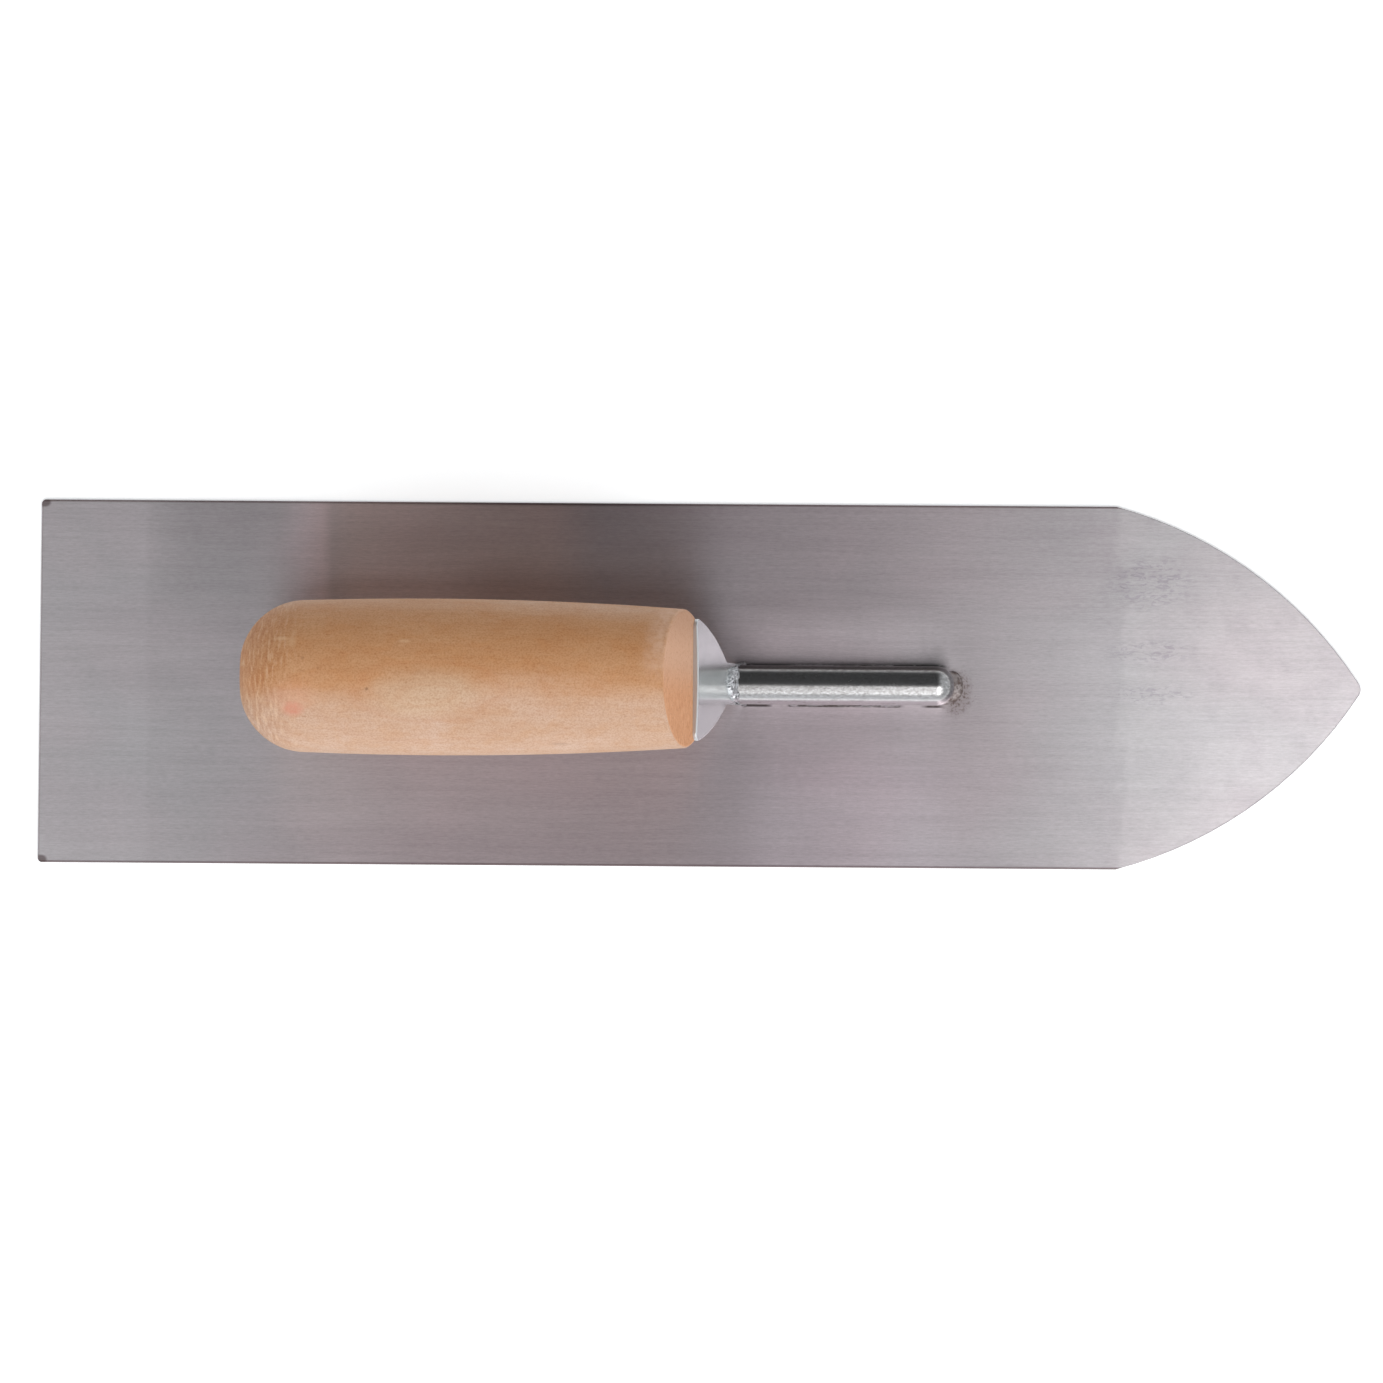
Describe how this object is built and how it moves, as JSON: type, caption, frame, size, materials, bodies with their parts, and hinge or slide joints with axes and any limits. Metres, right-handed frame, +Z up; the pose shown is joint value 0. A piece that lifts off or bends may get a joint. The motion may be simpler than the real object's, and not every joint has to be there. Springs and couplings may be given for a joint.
{
  "type": "pointed finishing trowel",
  "caption": "Long flat steel trowel blade with an arched point, a leaning fan-shaped neck plate on a welded foot bar, and a turned wooden grip.",
  "frame": {"origin": "middle of the blade's underside, at the bottom centre of the whole trowel's box", "axes": "+X along the blade to its point, +Z up from the blade to the handle, +Y to the left of someone looking along +X"},
  "size_m": [0.364, 0.1, 0.0674],
  "materials": {
    "blade_steel": "brushed lengthwise",
    "plated_steel": "polished plate",
    "tang_steel": "plain drawn rod",
    "handle_wood": "thin clear varnish",
    "weld_bead": "plated over, uneven",
    "weld_scorch": "heat-stained"
  },
  "bodies": {
    "root": {"blade": "blade_steel", "foot_bar": "plated_steel", "neck_plate": "plated_steel", "tang": "tang_steel", "handle": "handle_wood", "knuckle_weld": "weld_bead", "heel_weld": "weld_bead", "side_weld_left": "weld_bead", "side_weld_right": "weld_bead", "toe_weld": "weld_scorch"}
  },
  "joints": []
}
